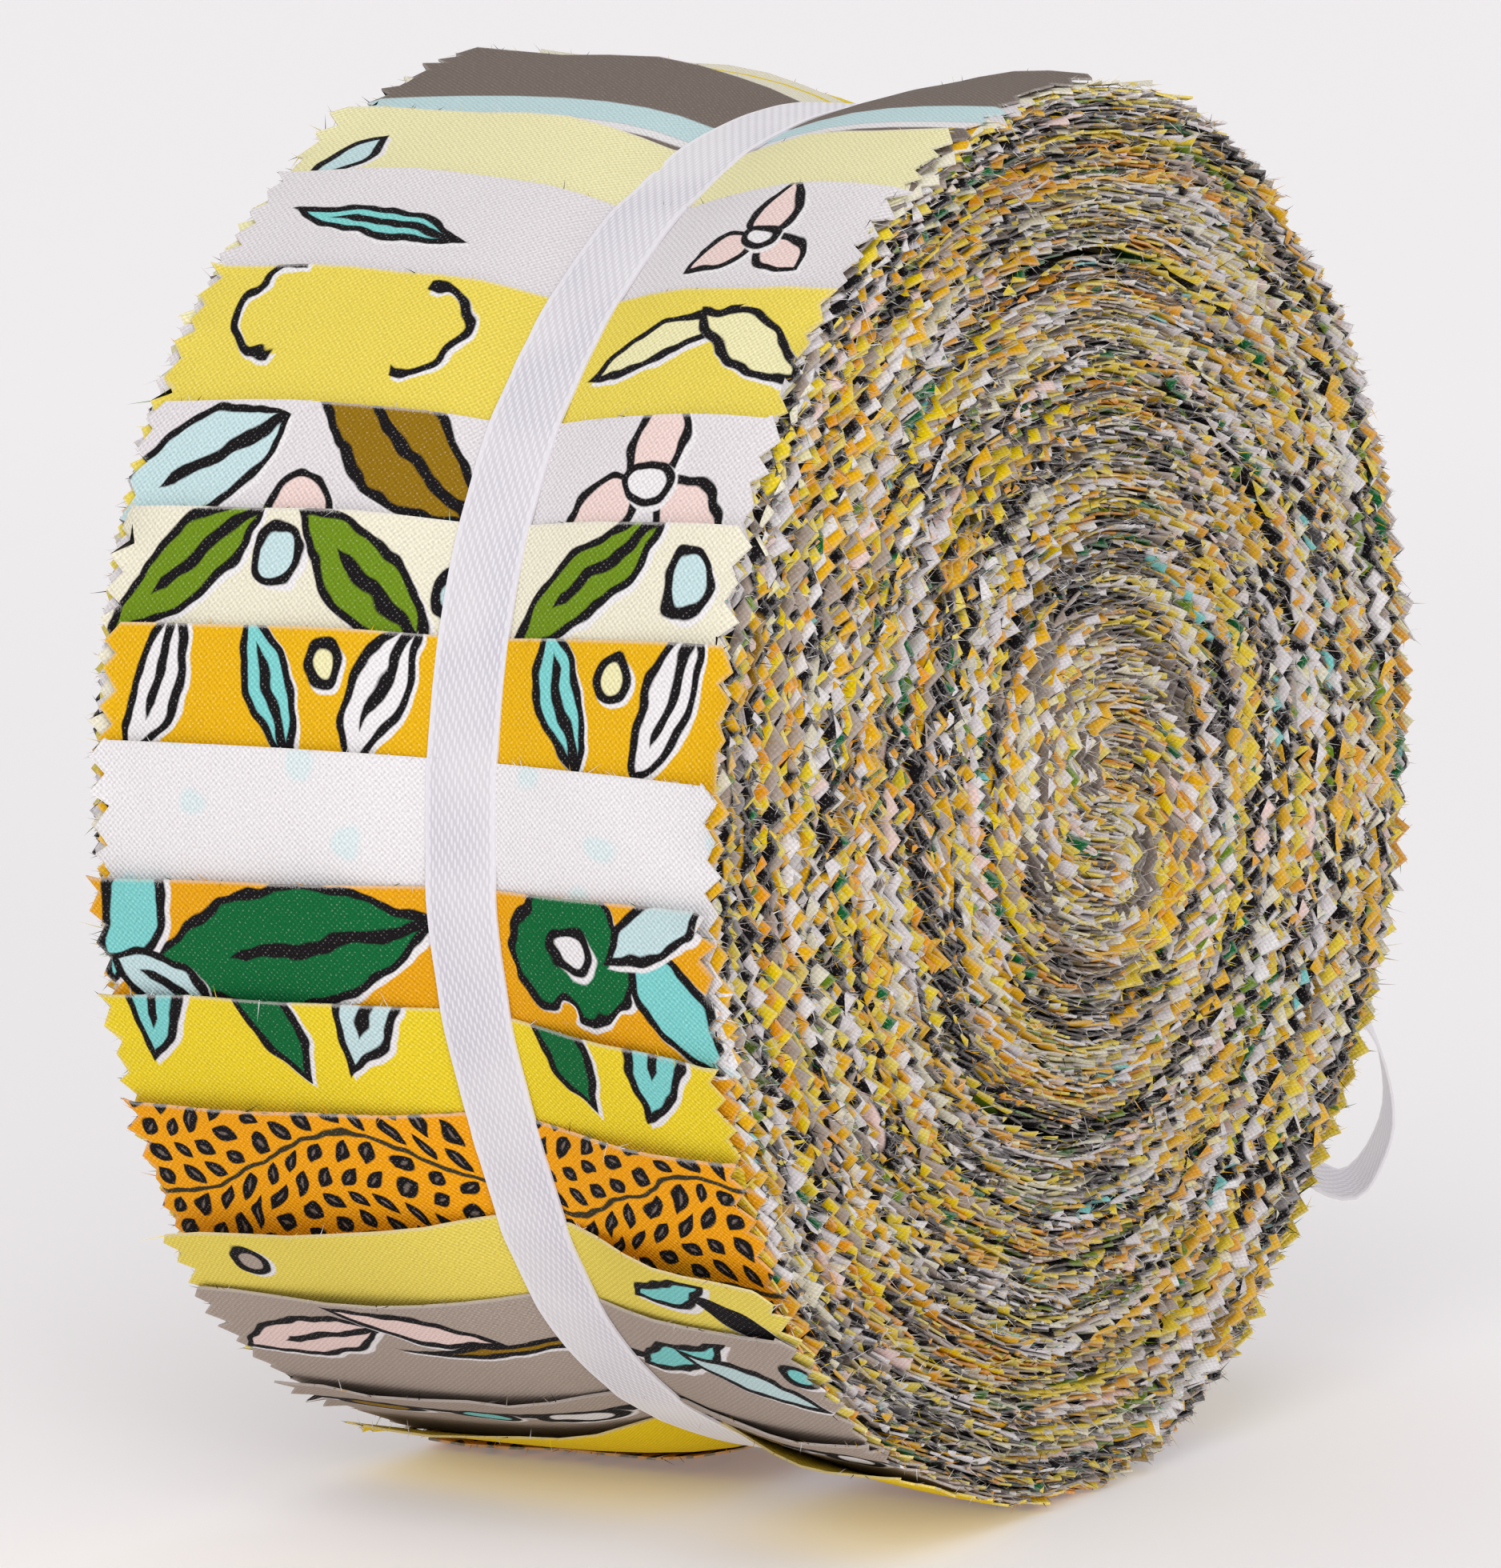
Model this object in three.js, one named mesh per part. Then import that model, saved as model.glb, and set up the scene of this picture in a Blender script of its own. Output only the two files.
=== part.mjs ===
// A jelly roll: a stack of cotton strips with pinked edges, wound into a roll that stands on its edge,
// held at the waist by a satin ribbon tied in a small bow. Millimetres, +Z up, roll axis along Y.
// Angles are in degrees in the X-Z plane, from +X towards +Z: 90 is the top, 180 the side of the strip ends.
import * as THREE from 'three';
import { mergeVertices } from 'three/addons/utils/BufferGeometryUtils.js';

// Fabric sizes
const STRIP_WIDTH = 63.5;
const STRIP_COUNT = 32;
const ROLL_RADIUS = 64.4;
const STACK_THICKNESS = 11.35;
const TOOTH_PITCH = 5.4;
const TOOTH_DEPTH = 2.2;
const END_STEP = 0.9;
const STEP_HALF_ANGLE = 0.25;
const FLAT_SPOT_DEPTH = 0.9;

// The waist that the ribbon draws in, and the crevices between the turns of the stack
const WAIST_DEPTH = { top: 3.6, left: 1.9, bottom: 3.2, right: 2.6 };
const WAIST_SPREAD = 8;
const LIFT_SPREAD = 7;
const CREVICE_DEPTH = 2.0;
const RING_FRACTIONS = [0, 0.12, 0.88];
const RINGS_PER_TURN = RING_FRACTIONS.length;
const SHOULDER = 2.4;
const SMALLEST_CELL = 0.8;

// The ribbon: woven satin, built at a plain solid's thickness
const RIBBON_WIDTH = 7;
const RIBBON_THICKNESS = 1.0;
const RIBBON_GAP = 0.35;
const RIBBON_Y = { middle: -6.0, swing: 1.4 };
const RIBBON_STEPS = 72;
const LOOP_STEPS = 30;
const TAIL_STEPS = 10;

const SEAM_ANGLE = 311;
const FULL_TURN = 360;
const rad = THREE.MathUtils.degToRad;
const wrap = (angle) => ((angle % FULL_TURN) + FULL_TURN) % FULL_TURN;

// One row for each strip end, going round the roll: its angle, how far the end slants across the
// width (degrees, positive where the far edge trails) and how far it lifts off the strip below.
const STRIP_ENDS = [
  { end: 78.5, slant: 2.0, lift: 0.3 },
  { end: 88.3, slant: 3.0, lift: 0.4 },
  { end: 107.6, slant: 0.8, lift: 0.3 },
  { end: 119.0, slant: 1.2, lift: 0.4 },
  { end: 131.2, slant: 0.5, lift: 0.3 },
  { end: 143.9, slant: 1.0, lift: 0.3 },
  { end: 152.7, slant: 1.0, lift: 0.4 },
  { end: 161.7, slant: 1.0, lift: 0.3 },
  { end: 171.3, slant: 0.3, lift: 0.3 },
  { end: 181.3, slant: 1.0, lift: 0.5 },
  { end: 191.8, slant: -0.5, lift: 0.4 },
  { end: 201.0, slant: 0.2, lift: 0.8 },
  { end: 210.0, slant: -0.3, lift: 4.2 },
  { end: 221.0, slant: 1.2, lift: 1.2 },
  { end: 236.5, slant: -1.2, lift: 0.8 },
  { end: 250.0, slant: -2.5, lift: 0.6 },
  { end: 262.0, slant: -0.6, lift: 0.0 },
  { end: 273.5, slant: 0.4, lift: 0.0 },
  { end: 285.0, slant: 0.8, lift: 0.2 },
  { end: 298.0, slant: -0.8, lift: 0.4 },
  { end: 311.0, slant: 0.5, lift: 0.4 },
  { end: 321.5, slant: 1.0, lift: 0.3 },
  { end: 333.0, slant: -0.4, lift: 0.3 },
  { end: 345.5, slant: 0.6, lift: 0.4 },
  { end: 356.0, slant: -1.0, lift: 0.3 },
  { end: 367.0, slant: 0.2, lift: 0.4 },
  { end: 379.5, slant: 0.9, lift: 0.3 },
  { end: 390.0, slant: -0.7, lift: 0.4 },
  { end: 402.0, slant: 0.4, lift: 0.3 },
  { end: 413.5, slant: 1.1, lift: 0.4 },
  { end: 424.0, slant: -0.3, lift: 0.3 },
  { end: 431.5, slant: 0.8, lift: 0.3 },
];

// Where the round form is pressed in (negative) or stands out: height, middle angle and spread
const OUT_OF_ROUND = [
  { height: 0.8, angle: 145, spread: 16 },
  { height: -1.0, angle: 202, spread: 12 },
  { height: -2.6, angle: 315, spread: 16 },
  { height: 0.6, angle: 60, spread: 20 },
];

const bell = (x, spread) => Math.exp(-((x / spread) ** 2));
const angleBetween = (a, b) => wrap(a - b + FULL_TURN / 2) - FULL_TURN / 2;

function roundForm(angle) {
  let radius = ROLL_RADIUS;
  for (const { height, angle: middle, spread } of OUT_OF_ROUND) {
    radius += height * bell(angleBetween(angle, middle), spread);
  }
  return radius;
}

function ribbonY(angle) {
  return RIBBON_Y.middle + RIBBON_Y.swing * Math.sin(rad(angle));
}

function waistDepth(angle) {
  const c = Math.cos(rad(angle));
  const s = Math.sin(rad(angle));
  const across = c > 0 ? WAIST_DEPTH.right : WAIST_DEPTH.left;
  const upDown = s > 0 ? WAIST_DEPTH.top : WAIST_DEPTH.bottom;
  return across * c * c + upDown * s * s;
}

// Radius lost at the waist: flat under the ribbon, fading out to both sides
function waistDrop(angle, y) {
  const beside = Math.max(0, Math.abs(y - ribbonY(angle)) - RIBBON_WIDTH / 2);
  return waistDepth(angle) * Math.exp(-beside / WAIST_SPREAD);
}

// A strip end lifts most away from the ribbon, which holds it down
function liftShape(angle, y) {
  const beside = Math.max(0, Math.abs(y - ribbonY(angle)) - RIBBON_WIDTH / 2);
  return 1 - bell(beside, LIFT_SPREAD);
}

function pointAt(angle, radius, y) {
  const a = rad(angle);
  return [radius * Math.cos(a), y, Math.max(0, ROLL_RADIUS - FLAT_SPOT_DEPTH + radius * Math.sin(a))];
}

// The lines that run across the roll's outside, with the teeth of both pinked edges at their ends.
// Each band starts at its own free end, one step up, and falls to the next strip's end.
function makeSpokes() {
  const spokes = [];
  STRIP_ENDS.forEach((strip, k) => {
    const next = STRIP_ENDS[(k + 1) % STRIP_COUNT];
    const nextEnd = k + 1 < STRIP_COUNT ? next.end : next.end + FULL_TURN;
    const arc = rad(nextEnd - strip.end) * ROLL_RADIUS;
    const teeth = Math.max(1, Math.round(arc / TOOTH_PITCH));
    const last = 2 * teeth;
    for (let i = 0; i <= last; i += 1) {
      const u = i / last;
      const from = strip.end + STEP_HALF_ANGLE;
      const to = nextEnd - STEP_HALF_ANGLE;
      spokes.push({
        angle: from + (to - from) * u,
        slant: strip.slant + (next.slant - strip.slant) * u,
        drop: END_STEP * u,
        lift: strip.lift * (1 - u) ** 2,
        tip: i % 2 === 1,
        main: i === 0 || i === teeth,
      });
    }
  });
  return spokes;
}

function wallPoint(spoke, y) {
  const angle = spoke.angle + spoke.slant * (y / (STRIP_WIDTH / 2));
  const lifted = spoke.lift * liftShape(spoke.angle, y);
  return pointAt(angle, roundForm(spoke.angle) - spoke.drop - waistDrop(spoke.angle, y) + lifted, y);
}

function rimY(spoke, side) {
  return side * (STRIP_WIDTH / 2 - (spoke.tip ? 0 : TOOTH_DEPTH));
}

// Collects triangles by their corner points and drops those that have no area
class Skin {
  constructor() {
    this.corners = [];
  }

  triangle(a, b, c) {
    if (a === b || b === c || c === a) return;
    this.corners.push(...a, ...b, ...c);
  }

  quad(a, b, c, d) {
    this.triangle(a, b, c);
    this.triangle(a, c, d);
  }

  geometry() {
    const loose = new THREE.BufferGeometry();
    loose.setAttribute('position', new THREE.Float32BufferAttribute(this.corners, 3));
    const welded = mergeVertices(loose, 1e-4);
    welded.computeVertexNormals();
    return welded;
  }
}

// One end face of the roll: rings that follow the wound stack, with a crevice once in each turn, and
// the teeth of the outer layer round them. A ring past the shoulder or the middle shares its points.
function addFace(skin, spokes, side) {
  const emit = (a, b, c) => (side < 0 ? skin.triangle(a, b, c) : skin.triangle(a, c, b));
  const level = side * (STRIP_WIDTH / 2 - TOOTH_DEPTH / 2);
  const middle = pointAt(0, 0, level - side * CREVICE_DEPTH);
  const rim = spokes.map((spoke) => wallPoint(spoke, rimY(spoke, side)));
  const mains = spokes.map((spoke, index) => ({ spoke, index })).filter(({ spoke }) => spoke.main);
  const rimRadius = ({ angle, drop }) => roundForm(angle) - drop - waistDrop(angle, level);
  const facePoint = (spoke, radius, y) => pointAt(spoke.angle + spoke.slant * side, radius, y);
  const shoulder = mains.map(({ spoke }) => facePoint(spoke, rimRadius(spoke) - SHOULDER, level));
  const turns = Math.ceil(ROLL_RADIUS / STACK_THICKNESS);
  const rings = [];
  for (let ring = -RINGS_PER_TURN; ring <= turns * RINGS_PER_TURN; ring += 1) {
    const turn = Math.floor(ring / RINGS_PER_TURN);
    const part = ring - turn * RINGS_PER_TURN;
    const y = level - side * (part === 0 ? CREVICE_DEPTH : 0);
    rings.push(mains.map(({ spoke }, i) => {
      const outward = wrap(SEAM_ANGLE - spoke.angle) / FULL_TURN;
      const wound = ROLL_RADIUS - STACK_THICKNESS * (turns - outward - turn - RING_FRACTIONS[part]);
      const radius = wound * (rimRadius(spoke) / ROLL_RADIUS);
      if (radius < SMALLEST_CELL) return middle;
      if (radius > rimRadius(spoke) - SHOULDER - SMALLEST_CELL) return shoulder[i];
      return facePoint(spoke, radius, y);
    }));
  }
  const ringAt = (index) => rings[Math.max(0, index)];
  mains.forEach(({ spoke, index }, i) => {
    const j = (i + 1) % mains.length;
    const crossesSeam = wrap(SEAM_ANGLE - spoke.angle) < wrap(SEAM_ANGLE - mains[j].spoke.angle);
    const shift = crossesSeam ? RINGS_PER_TURN : 0;
    for (let r = 0; r + 1 < rings.length; r += 1) {
      emit(rings[r][i], rings[r + 1][i], ringAt(r + 1 - shift)[j]);
      emit(rings[r][i], ringAt(r + 1 - shift)[j], ringAt(r - shift)[j]);
    }
    let from = index;
    while (from !== mains[j].index) {
      const to = (from + 1) % spokes.length;
      emit(shoulder[i], rim[from], rim[to]);
      from = to;
    }
    emit(shoulder[i], rim[from], shoulder[j]);
  });
}

// Rows of the outside across the width: the two rims, plain rows, and closer rows beside the ribbon
const PLAIN_ROWS = { near: [-27.5, -21], far: [14, 21, 27.5] };
const ROWS_BESIDE_RIBBON = [0, 3, WAIST_SPREAD];

function rowsAcross(spoke) {
  const middle = ribbonY(spoke.angle);
  const beside = ROWS_BESIDE_RIBBON.map((offset) => RIBBON_WIDTH / 2 + offset);
  return [
    rimY(spoke, -1),
    ...PLAIN_ROWS.near,
    ...beside.toReversed().map((offset) => middle - offset),
    ...beside.map((offset) => middle + offset),
    ...PLAIN_ROWS.far,
    rimY(spoke, 1),
  ];
}

function makeRoll() {
  const skin = new Skin();
  const spokes = makeSpokes();
  const lines = spokes.map((spoke) => rowsAcross(spoke).map((y) => wallPoint(spoke, y)));
  lines.forEach((line, i) => {
    const next = lines[(i + 1) % lines.length];
    for (let row = 0; row + 1 < line.length; row += 1) {
      skin.quad(line[row], line[row + 1], next[row + 1], next[row]);
    }
  });
  addFace(skin, spokes, -1);
  addFace(skin, spokes, 1);
  return skin.geometry();
}

// A flat band carried along stations, each with its centre, the direction of its width and of its
// thickness. A closed band is a ring, an open one has flat ends.
function makeBand(stations, { width = RIBBON_WIDTH, thickness = RIBBON_THICKNESS, closed = false } = {}) {
  const skin = new Skin();
  const corner = ({ centre, across, out }, w, t) => centre.clone()
    .addScaledVector(across, (w * width) / 2)
    .addScaledVector(out, (t * thickness) / 2)
    .toArray();
  const sections = stations.map((s) => [corner(s, -1, -1), corner(s, 1, -1), corner(s, 1, 1), corner(s, -1, 1)]);
  const spans = closed ? sections.length : sections.length - 1;
  for (let i = 0; i < spans; i += 1) {
    const here = sections[i];
    const there = sections[(i + 1) % sections.length];
    for (let side = 0; side < 4; side += 1) {
      const next = (side + 1) % 4;
      skin.quad(here[side], here[next], there[next], there[side]);
    }
  }
  if (!closed) {
    const first = sections[0];
    const last = sections[sections.length - 1];
    skin.quad(first[3], first[2], first[1], first[0]);
    skin.quad(last[0], last[1], last[2], last[3]);
  }
  return skin.geometry();
}

// The ribbon round the waist, a steady gap above the strips
function ribbonRadius(angle) {
  return roundForm(angle) - waistDepth(angle) + RIBBON_GAP + RIBBON_THICKNESS / 2;
}

function makeRibbonRing() {
  const stations = Array.from({ length: RIBBON_STEPS }, (_, i) => {
    const angle = FULL_TURN * (1 - i / RIBBON_STEPS);
    const a = rad(angle);
    const out = new THREE.Vector3(Math.cos(a), 0, Math.sin(a));
    const radius = ribbonRadius(angle);
    const height = ROLL_RADIUS - FLAT_SPOT_DEPTH + radius * Math.sin(a);
    return {
      centre: new THREE.Vector3(radius * Math.cos(a), ribbonY(angle), height),
      across: new THREE.Vector3(0, 1, 0),
      out,
    };
  });
  return makeBand(stations, { closed: true });
}

// The bow at the back: a knot on the ribbon, two loops and two short tails.
// Points are measured from the knot's centre: out from the roll, along the roll's axis, and up.
const KNOT_ANGLE = 333;
const KNOT = { along: 9, around: 8.5, out: 3.6, corner: 1.6, bevel: 0.8 };
const KNOT_CENTRE_OUT = RIBBON_THICKNESS / 2 + RIBBON_GAP + KNOT.out / 2;
const LOOP_POINTS = [
  [-0.8, 5.2, 0.4], [-0.8, 7.2, 0.4], [0.6, 9.8, 1.8], [4.6, 12.8, 3.8], [9.4, 16.2, 2.6],
  [13.5, 19.5, -3.0], [14.2, 20.6, -11.0], [11.0, 18.2, -17.0], [6.6, 14.4, -14.6], [3.0, 11.0, -6.6],
  [1.0, 8.0, -1.4], [0.8, 5.2, -0.4],
];
const TAIL_POINTS = {
  near: [[-1.4, -1.0, -4.9], [-1.0, -2.5, -10.0], [-0.6, -4.6, -16.0], [0.2, -6.4, -22.0], [1.6, -7.4, -27.0]],
  far: [[-2.9, 1.0, -4.3], [-3.6, 2.6, -9.5], [-3.2, 5.4, -15.5], [-2.0, 8.4, -21.0], [0.4, 10.6, -26.0]],
};

function knotCentre() {
  const a = rad(KNOT_ANGLE);
  const radius = ribbonRadius(KNOT_ANGLE) + KNOT_CENTRE_OUT;
  return new THREE.Vector3(
    radius * Math.cos(a),
    ribbonY(KNOT_ANGLE),
    ROLL_RADIUS - FLAT_SPOT_DEPTH + radius * Math.sin(a),
  );
}

function makeKnot() {
  const half = { x: KNOT.along / 2, y: KNOT.around / 2 };
  const outline = [];
  for (const [right, up] of [[1, -1], [1, 1], [-1, 1], [-1, -1]]) {
    const side = new THREE.Vector2(right * half.x, up * (half.y - KNOT.corner));
    const end = new THREE.Vector2(right * (half.x - KNOT.corner), up * half.y);
    outline.push(...(right * up < 0 ? [end, side] : [side, end]));
  }
  const knot = new THREE.ExtrudeGeometry(new THREE.Shape(outline), {
    depth: KNOT.out - 2 * KNOT.bevel,
    bevelThickness: KNOT.bevel,
    bevelSize: KNOT.bevel,
    bevelOffset: -KNOT.bevel,
    bevelSegments: 2,
  });
  knot.translate(0, 0, KNOT.bevel - KNOT.out / 2);
  return knot;
}

// Stations along a smooth curve. The band's width is square to the curve, and turns from its direction
// at the ends to its direction halfway.
function stationsAlong(points, { atEnds, halfway }, steps) {
  const curve = new THREE.CatmullRomCurve3(points.map((p) => new THREE.Vector3(...p)), false, 'centripetal');
  return Array.from({ length: steps + 1 }, (_, i) => {
    const centre = curve.getPointAt(i / steps);
    const along = curve.getTangentAt(i / steps);
    const widest = atEnds.clone().lerp(halfway, Math.sin((Math.PI * i) / steps));
    const across = widest.addScaledVector(along, -widest.dot(along)).normalize();
    return { centre, across, out: new THREE.Vector3().crossVectors(along, across) };
  });
}

const aroundRoll = new THREE.Vector3(-Math.sin(rad(KNOT_ANGLE)), 0, Math.cos(rad(KNOT_ANGLE)));
const alongRoll = new THREE.Vector3(0, 1, 0);

function makeLoop(side) {
  const points = LOOP_POINTS.map(([x, y, z]) => [x, y * side, z]);
  const halfway = new THREE.Vector3(0.82, -0.57 * side, 0.2);
  return makeBand(stationsAlong(points, { atEnds: aroundRoll, halfway }, LOOP_STEPS));
}

function makeTail(points) {
  return makeBand(stationsAlong(points, { atEnds: alongRoll, halfway: alongRoll }, TAIL_STEPS));
}

const SATIN = { color: '#e4e4ea', roughness: 0.35, metalness: 0 };
const COTTON = { color: '#e6c84c', roughness: 0.95, metalness: 0 };

function addPiece(parent, name, geometry, finish) {
  const mesh = new THREE.Mesh(geometry, new THREE.MeshStandardMaterial(finish));
  mesh.name = name;
  parent.add(mesh);
  return mesh;
}

const model = new THREE.Group();
addPiece(model, 'fabric_roll', makeRoll(), COTTON);
addPiece(model, 'ribbon_band', makeRibbonRing(), SATIN);

const bow = new THREE.Group();
bow.position.copy(knotCentre());
model.add(bow);
const knot = addPiece(bow, 'ribbon_knot', makeKnot(), SATIN);
knot.rotation.set(0, rad(90 - KNOT_ANGLE), rad(90), 'YXZ');
addPiece(bow, 'ribbon_loop_near', makeLoop(-1), SATIN);
addPiece(bow, 'ribbon_loop_far', makeLoop(1), SATIN);
addPiece(bow, 'ribbon_tail_near', makeTail(TAIL_POINTS.near), SATIN);
addPiece(bow, 'ribbon_tail_far', makeTail(TAIL_POINTS.far), SATIN);

// The origin is the middle of the underside of the whole box
const box = new THREE.Box3().setFromObject(model);
model.position.set(-(box.min.x + box.max.x) / 2, -(box.min.y + box.max.y) / 2, -box.min.z);

export default model;
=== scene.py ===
# A jelly roll: 32 pinked cotton strips, stacked and wound up, tied round the waist with satin ribbon.
import math

import bmesh
import bpy
import numpy as np
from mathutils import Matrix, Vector


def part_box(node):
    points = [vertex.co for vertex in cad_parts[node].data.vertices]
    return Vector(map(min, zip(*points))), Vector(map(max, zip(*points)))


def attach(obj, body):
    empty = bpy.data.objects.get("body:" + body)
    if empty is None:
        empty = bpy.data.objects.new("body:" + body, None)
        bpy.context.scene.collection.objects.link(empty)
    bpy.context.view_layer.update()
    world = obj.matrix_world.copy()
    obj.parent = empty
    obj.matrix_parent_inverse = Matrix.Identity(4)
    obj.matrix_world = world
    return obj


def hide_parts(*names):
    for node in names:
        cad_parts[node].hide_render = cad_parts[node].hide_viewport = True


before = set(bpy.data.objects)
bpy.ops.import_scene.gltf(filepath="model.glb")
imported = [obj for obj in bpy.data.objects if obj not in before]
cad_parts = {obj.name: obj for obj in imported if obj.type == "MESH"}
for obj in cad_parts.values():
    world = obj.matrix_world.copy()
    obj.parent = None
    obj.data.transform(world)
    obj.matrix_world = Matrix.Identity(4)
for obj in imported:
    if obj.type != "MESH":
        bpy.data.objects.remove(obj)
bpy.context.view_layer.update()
rng = np.random.default_rng(7)


# The roll as it stands: its axis lies along Y, over the flat spot that its weight presses. All sizes
# here are in millimetres, and angles in degrees in the X-Z plane (90 is the top). The ribbon draws the
# waist in by a depth on each side, and the CAD ribbon's gap and thickness tell where the axis lies.
MM = 0.001
ROLL_RADIUS = 64.4
FLAT_SPOT = 0.9
RIBBON_WIDTH = 7.0
RIBBON_GAP = 0.35
RIBBON_SOLID = 1.0
WAIST = dict(top=3.6, left=1.9, bottom=3.2, right=2.6)
WAIST_SPREAD = 8.0
band_low, band_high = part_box("ribbon_band")
AXIS_X = band_low.x / MM + ROLL_RADIUS - WAIST["left"] + RIBBON_GAP + RIBBON_SOLID
AXIS_Z = ROLL_RADIUS - FLAT_SPOT


# The camera stands low, to the left of the roll's open face, with a long lens. The photograph's height,
# focal length and centre are in its own pixels.
CAMERA = dict(x=-724.1, y=-430.4, z=188.9, azimuth=-59.27, elevation=8.47)
PHOTO = dict(height=1960, focal=11722, centre_x=33.6, centre_y=-7.8)


def add(name, data):
    """A new object at the origin, unturned, for a mesh, a lamp or a camera."""
    thing = bpy.data.objects.new(name, data)
    bpy.context.collection.objects.link(thing)
    return thing


def make_camera():
    """A long lens, as many picture heights away as in the photograph."""
    data = bpy.data.cameras.new("camera")
    data.lens = data.sensor_width * PHOTO["focal"] / PHOTO["height"]
    data.shift_x = -PHOTO["centre_x"] / PHOTO["height"]
    data.shift_y = PHOTO["centre_y"] / PHOTO["height"]
    camera = add("camera", data)
    camera.location = Vector((AXIS_X + CAMERA["x"], CAMERA["y"], CAMERA["z"])) * MM
    turn, lift = math.radians(CAMERA["azimuth"]), math.radians(CAMERA["elevation"])
    back = Vector((math.sin(turn) * math.cos(lift), -math.cos(turn) * math.cos(lift), math.sin(lift)))
    camera.rotation_euler = back.to_track_quat("Z", "Y").to_euler()
    bpy.context.scene.camera = camera
    bpy.context.scene.view_settings.view_transform = "Standard"


make_camera()


# Shader maths, written as Python expressions on a material's sockets.
class Shade:
    """One value in a material. Arithmetic on it adds the Math nodes."""

    def __init__(self, finish, socket):
        self.finish = finish
        self.socket = socket

    def __add__(self, other):
        return self.finish.maths("ADD", self, other)

    def __sub__(self, other):
        return self.finish.maths("SUBTRACT", self, other)

    def __rsub__(self, other):
        return self.finish.maths("SUBTRACT", other, self)

    def __mul__(self, other):
        return self.finish.maths("MULTIPLY", self, other)

    def __truediv__(self, other):
        return self.finish.maths("DIVIDE", self, other)

    def __abs__(self):
        return self.finish.maths("ABSOLUTE", self)

    __radd__ = __add__
    __rmul__ = __mul__

    def below(self, edge, soft):
        """1 where the value is under the edge, 0 over it, with a ramp as wide as soft between."""
        return self.finish.maths("MULTIPLY_ADD", self, -1 / soft, edge / soft + 0.5, clamp=True)


class Finish:
    """A material, built up node by node on its Principled shader."""

    def __init__(self, name):
        self.material = bpy.data.materials.new(name)
        self.material.use_nodes = True
        self.nodes = self.material.node_tree.nodes
        self.links = self.material.node_tree.links
        self.shader = self.nodes["Principled BSDF"]

    def put(self, socket, value):
        """Links a value to a socket, or sets it where it is a number or a colour."""
        if isinstance(value, Shade):
            self.links.new(value.socket, socket)
        else:
            socket.default_value = value

    def surface(self, values):
        """Sets or links sockets of the shader itself."""
        for key, value in values.items():
            self.put(self.shader.inputs[key], value)

    def node(self, kind, settings, values, output=0):
        """Adds a node: its settings first, then its sockets' values or links."""
        node = self.nodes.new("ShaderNode" + kind)
        for key, value in settings.items():
            setattr(node, key, value)
        for key, value in values.items():
            self.put(node.inputs[key], value)
        return Shade(self, node.outputs[output])

    def maths(self, operation, *values, clamp=False):
        return self.node("Math", dict(operation=operation, use_clamp=clamp), dict(enumerate(values)))

    def mix(self, first, second, amount):
        """Blends two colours."""
        return self.node("Mix", dict(data_type="RGBA"), {0: amount, 6: first, 7: second}, 2)

    def noise(self, vector, scale, detail=2.0):
        return self.node("TexNoise", {}, {"Vector": vector, "Scale": scale, "Detail": detail})

    def attribute(self, name, output="Vector"):
        return self.node("Attribute", dict(attribute_name=name), {}, output)

    def vector(self, operation, values, output=0):
        return self.node("VectorMath", dict(operation=operation), values, output)

    def length(self, vector):
        return self.vector("LENGTH", {0: vector}, "Value")

    def bumps(self, *layers):
        """Bumps laid one on the other, each a height, a strength and a depth in metres."""
        below = {}
        for height, strength, depth in layers:
            values = {"Height": height, "Strength": strength, "Distance": depth}
            below = {"Normal": self.node("Bump", {}, values | below)}
        return below["Normal"]

    def split(self, vector):
        """The three parts of a vector."""
        first = self.node("SeparateXYZ", {}, {"Vector": vector})
        return first, *(Shade(self, first.socket.node.outputs[part]) for part in "YZ")


def ink(red, green, blue):
    """A colour as it is seen, in 0 to 255, as linear light."""
    seen = np.array([red, green, blue]) / 255
    linear = np.where(seen > 0.04045, ((seen + 0.055) / 1.055) ** 2.4, seen / 12.92)
    return (*linear.tolist(), 1.0)


# The table that the roll stands on: a plain pale sheet, wide enough to fill the picture. It glows a
# little as painted light, which lifts the shade near the roll and brightens the floor more away from it.
# Its sizes and the lamps' places are in metres.
FLOOR = dict(half=6.0, reach=0.75, bend=1.2, height=2.5, steps=25)
PAINTED_GLOW = dict(near=(0.13, 0.127, 0.128, 1), far=(0.22, 0.217, 0.218, 1), edge=0.5, soft=0.7)
DAYLIGHT = dict(colour=(0.98, 0.985, 1.0, 1.0), strength=0.62)
LAMPS = [
    dict(name="overhead", size=0.7, power=3.6, at=(-0.75, -0.25, 0.75)),
    dict(name="front", size=0.5, power=4.0, at=(-0.8, -0.95, 0.35)),
]


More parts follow.
